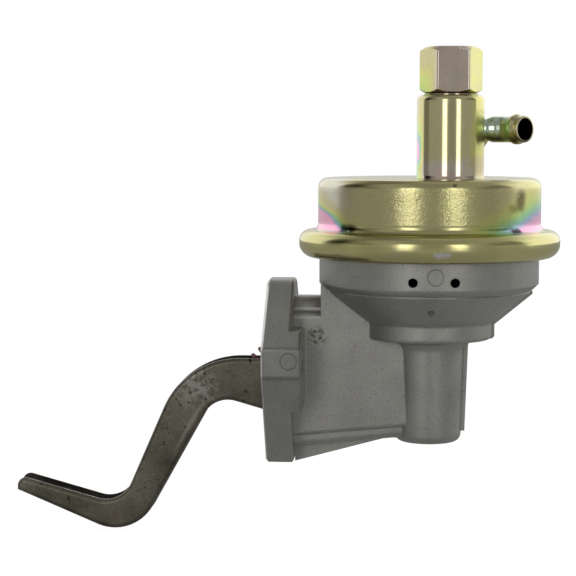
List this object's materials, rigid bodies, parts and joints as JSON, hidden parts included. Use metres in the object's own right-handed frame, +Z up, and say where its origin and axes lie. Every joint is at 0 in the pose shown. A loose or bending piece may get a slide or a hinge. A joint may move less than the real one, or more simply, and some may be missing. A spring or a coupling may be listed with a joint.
{
  "type": "mechanical fuel pump",
  "caption": "Cam-driven diaphragm fuel pump with a bolted flange, a sprung rocker arm, a hose nipple and a hexagon outlet port.",
  "frame": {"origin": "middle of the two bolt holes, on the flange's mating face", "axes": "-X out of the mating face into the engine, +Z up along the diaphragm's axis, +Y to the far side"},
  "size_m": [0.2073, 0.0986, 0.184],
  "materials": {
    "cast_aluminium": "grey die casting, shot blasted, fine grain",
    "plated_steel": "yellow chromate zinc plate with a rainbow tint",
    "arm_steel": "dull brown-grey stamped steel, scuffed",
    "red_spring": "dark red painted spring wire",
    "spring_steel": "bare spring wire",
    "rubber_fabric": "rubber on fabric",
    "valve_zinc": "as cast",
    "brass": "turned",
    "valve_plastic": "moulded",
    "plain_steel": "bare stamped or turned steel"
  },
  "bodies": {
    "housing": {"lower_body": "cast_aluminium", "top_cover": "plated_steel", "outlet_fitting": "plated_steel", "hose_nipple": "plated_steel", "outlet_tube": "brass", "valve_body": "valve_zinc", "valve_gasket": "rubber_fabric", "outlet_valve_seat": "brass", "outlet_valve_cage": "plain_steel", "outlet_valve_spring": "spring_steel", "inlet_valve_seat": "brass", "inlet_valve_cage": "plain_steel", "inlet_valve_spring": "spring_steel", "oil_seal": "rubber_fabric", "seal_retainer": "plain_steel", "diaphragm": "rubber_fabric", "diaphragm_spring": "spring_steel", "pivot_pin": "plain_steel", "pivot_plug": "plain_steel", "pivot_washer_front": "plain_steel", "pivot_washer_rear": "plain_steel", "arm_return_spring": "red_spring"},
    "rocker_arm": {"rocker_arm": "arm_steel", "pivot_bush": "plain_steel", "spring_seat": "plain_steel"},
    "rocker_link": {"rocker_link": "arm_steel"},
    "pull_rod": {"pull_rod": "plain_steel", "rod_washer": "plain_steel", "diaphragm_upper_plate": "plain_steel", "diaphragm_lower_plate": "plain_steel"},
    "outlet_valve_disc": {"outlet_valve_disc": "valve_plastic"},
    "inlet_valve_disc": {"inlet_valve_disc": "valve_plastic"}
  },
  "joints": [
    {"name": "arm_pivot", "type": "hinge", "parent": "housing", "child": "rocker_arm", "pos_m": [0.009, 0, -0.013], "axis": [0, 1, 0], "range_deg": [0, 7], "stiffness_Nm_per_rad": 4, "springref_deg": -17.19, "deforming": ["arm_return_spring"]},
    {"name": "link_pivot", "type": "hinge", "parent": "housing", "child": "rocker_link", "pos_m": [0.009, 0, -0.013], "axis": [0, 1, 0], "range_deg": [0, 7]},
    {"name": "rod_slide", "type": "slide", "parent": "housing", "child": "pull_rod", "axis": [0, 0, -1], "range_m": [0, 0.0068], "deforming": ["diaphragm", "diaphragm_spring"]},
    {"name": "outlet_valve_lift", "type": "slide", "parent": "housing", "child": "outlet_valve_disc", "axis": [0, 0, 1], "range_m": [0, 0.0015], "stiffness_N_per_m": 60, "springref_m": -0.002, "deforming": ["outlet_valve_spring"]},
    {"name": "inlet_valve_lift", "type": "slide", "parent": "housing", "child": "inlet_valve_disc", "axis": [0, 0, -1], "range_m": [0, 0.0015], "stiffness_N_per_m": 60, "springref_m": -0.002, "deforming": ["inlet_valve_spring"]}
  ],
  "couplings": [
    {"joint": "link_pivot", "follows": "arm_pivot", "ratio": 1},
    {"joint": "rod_slide", "follows": "arm_pivot", "m_per_rad": 0.055}
  ]
}
